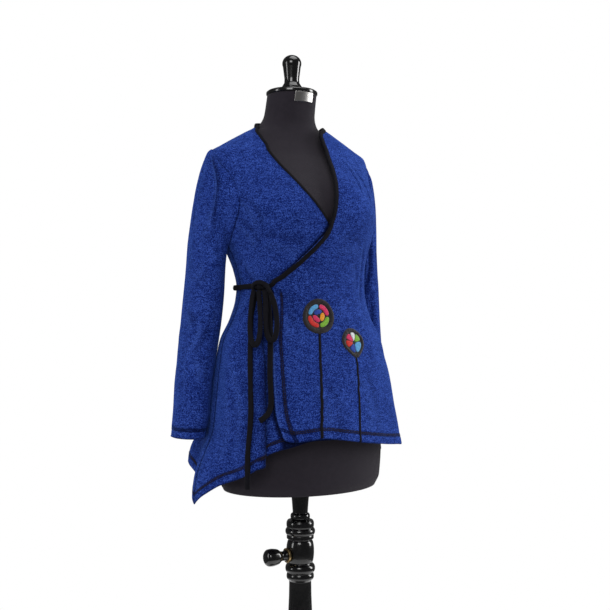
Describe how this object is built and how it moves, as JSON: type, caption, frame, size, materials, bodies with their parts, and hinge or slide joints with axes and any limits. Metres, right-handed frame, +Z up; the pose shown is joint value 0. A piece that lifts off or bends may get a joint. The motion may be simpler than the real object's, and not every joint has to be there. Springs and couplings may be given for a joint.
{
  "type": "wrap sweatshirt on a dress form",
  "caption": "Wrap sweatshirt with long sleeves, flared uneven hem, side tie and flower patches, worn by a limbless dress form that turns and slides on a turned stand.",
  "frame": {"origin": "centre of the underside of the stand's base, on the floor", "axes": "+Z up along the post, -Y the way the garment faces, +X towards the wearer's left"},
  "size_m": [0.503, 0.37, 1.507],
  "materials": {
    "heather_knit": "heather sweatshirt knit, matt",
    "black_jersey": "black jersey, matt",
    "form_jersey": "charcoal jersey cover, matt",
    "gloss_black_wood": "gloss black paint",
    "plate_metal": "brushed, blank",
    "brass": "satin",
    "pole_steel": "satin",
    "rose_felt": "felted, matt",
    "red_felt": "felted, matt",
    "amber_felt": "felted, matt",
    "green_felt": "felted, matt",
    "sky_felt": "felted, matt",
    "navy_felt": "felted, matt",
    "white_felt": "felted, matt"
  },
  "bodies": {
    "stand": {"base": "gloss_black_wood", "post": "gloss_black_wood", "screw_ring": "brass"},
    "pole": {"pole": "pole_steel"},
    "form": {"back": "heather_knit", "front_left": "heather_knit", "front_right": "heather_knit", "sleeve_right": "heather_knit", "sleeve_left": "heather_knit", "band_left": "black_jersey", "band_right": "black_jersey", "band_neck": "black_jersey", "flower_round_rim": "black_jersey", "flower_round_stem": "black_jersey", "flower_bud_rim": "black_jersey", "flower_bud_stem": "black_jersey", "tie_knot": "black_jersey", "tie_waist": "black_jersey", "tie_loop_left": "black_jersey", "tie_loop_right": "black_jersey", "tie_tail_long": "black_jersey", "tie_tail_short": "black_jersey", "form_body": "form_jersey", "neck_cap": "gloss_black_wood", "name_plate": "plate_metal", "form_neck": "gloss_black_wood", "flower_round_petal_1": "green_felt", "flower_round_petal_2": "rose_felt", "flower_round_petal_3": "sky_felt", "flower_round_petal_4": "red_felt", "flower_round_petal_5": "amber_felt", "flower_round_petal_6": "navy_felt", "flower_round_petal_7": "rose_felt", "flower_bud_petal_1": "green_felt", "flower_bud_petal_2": "white_felt", "flower_bud_petal_3": "rose_felt", "flower_bud_petal_4": "red_felt", "flower_bud_petal_5": "navy_felt", "flower_bud_petal_6": "sky_felt"},
    "screw": {"clamp_screw": "gloss_black_wood"}
  },
  "joints": [
    {"name": "height_slide", "type": "slide", "parent": "stand", "child": "pole", "axis": [0, 0, 1], "range_m": [0, 0.25]},
    {"name": "form_turn", "type": "hinge", "parent": "pole", "child": "form", "pos_m": [0, 0, 0.5708], "axis": [0, 0, 1], "continuous": true},
    {"name": "clamp_screw_turn", "type": "hinge", "parent": "stand", "child": "screw", "pos_m": [-0.028, 0, 0.503], "axis": [-1, 0, 0], "range_deg": [0, 180]}
  ]
}
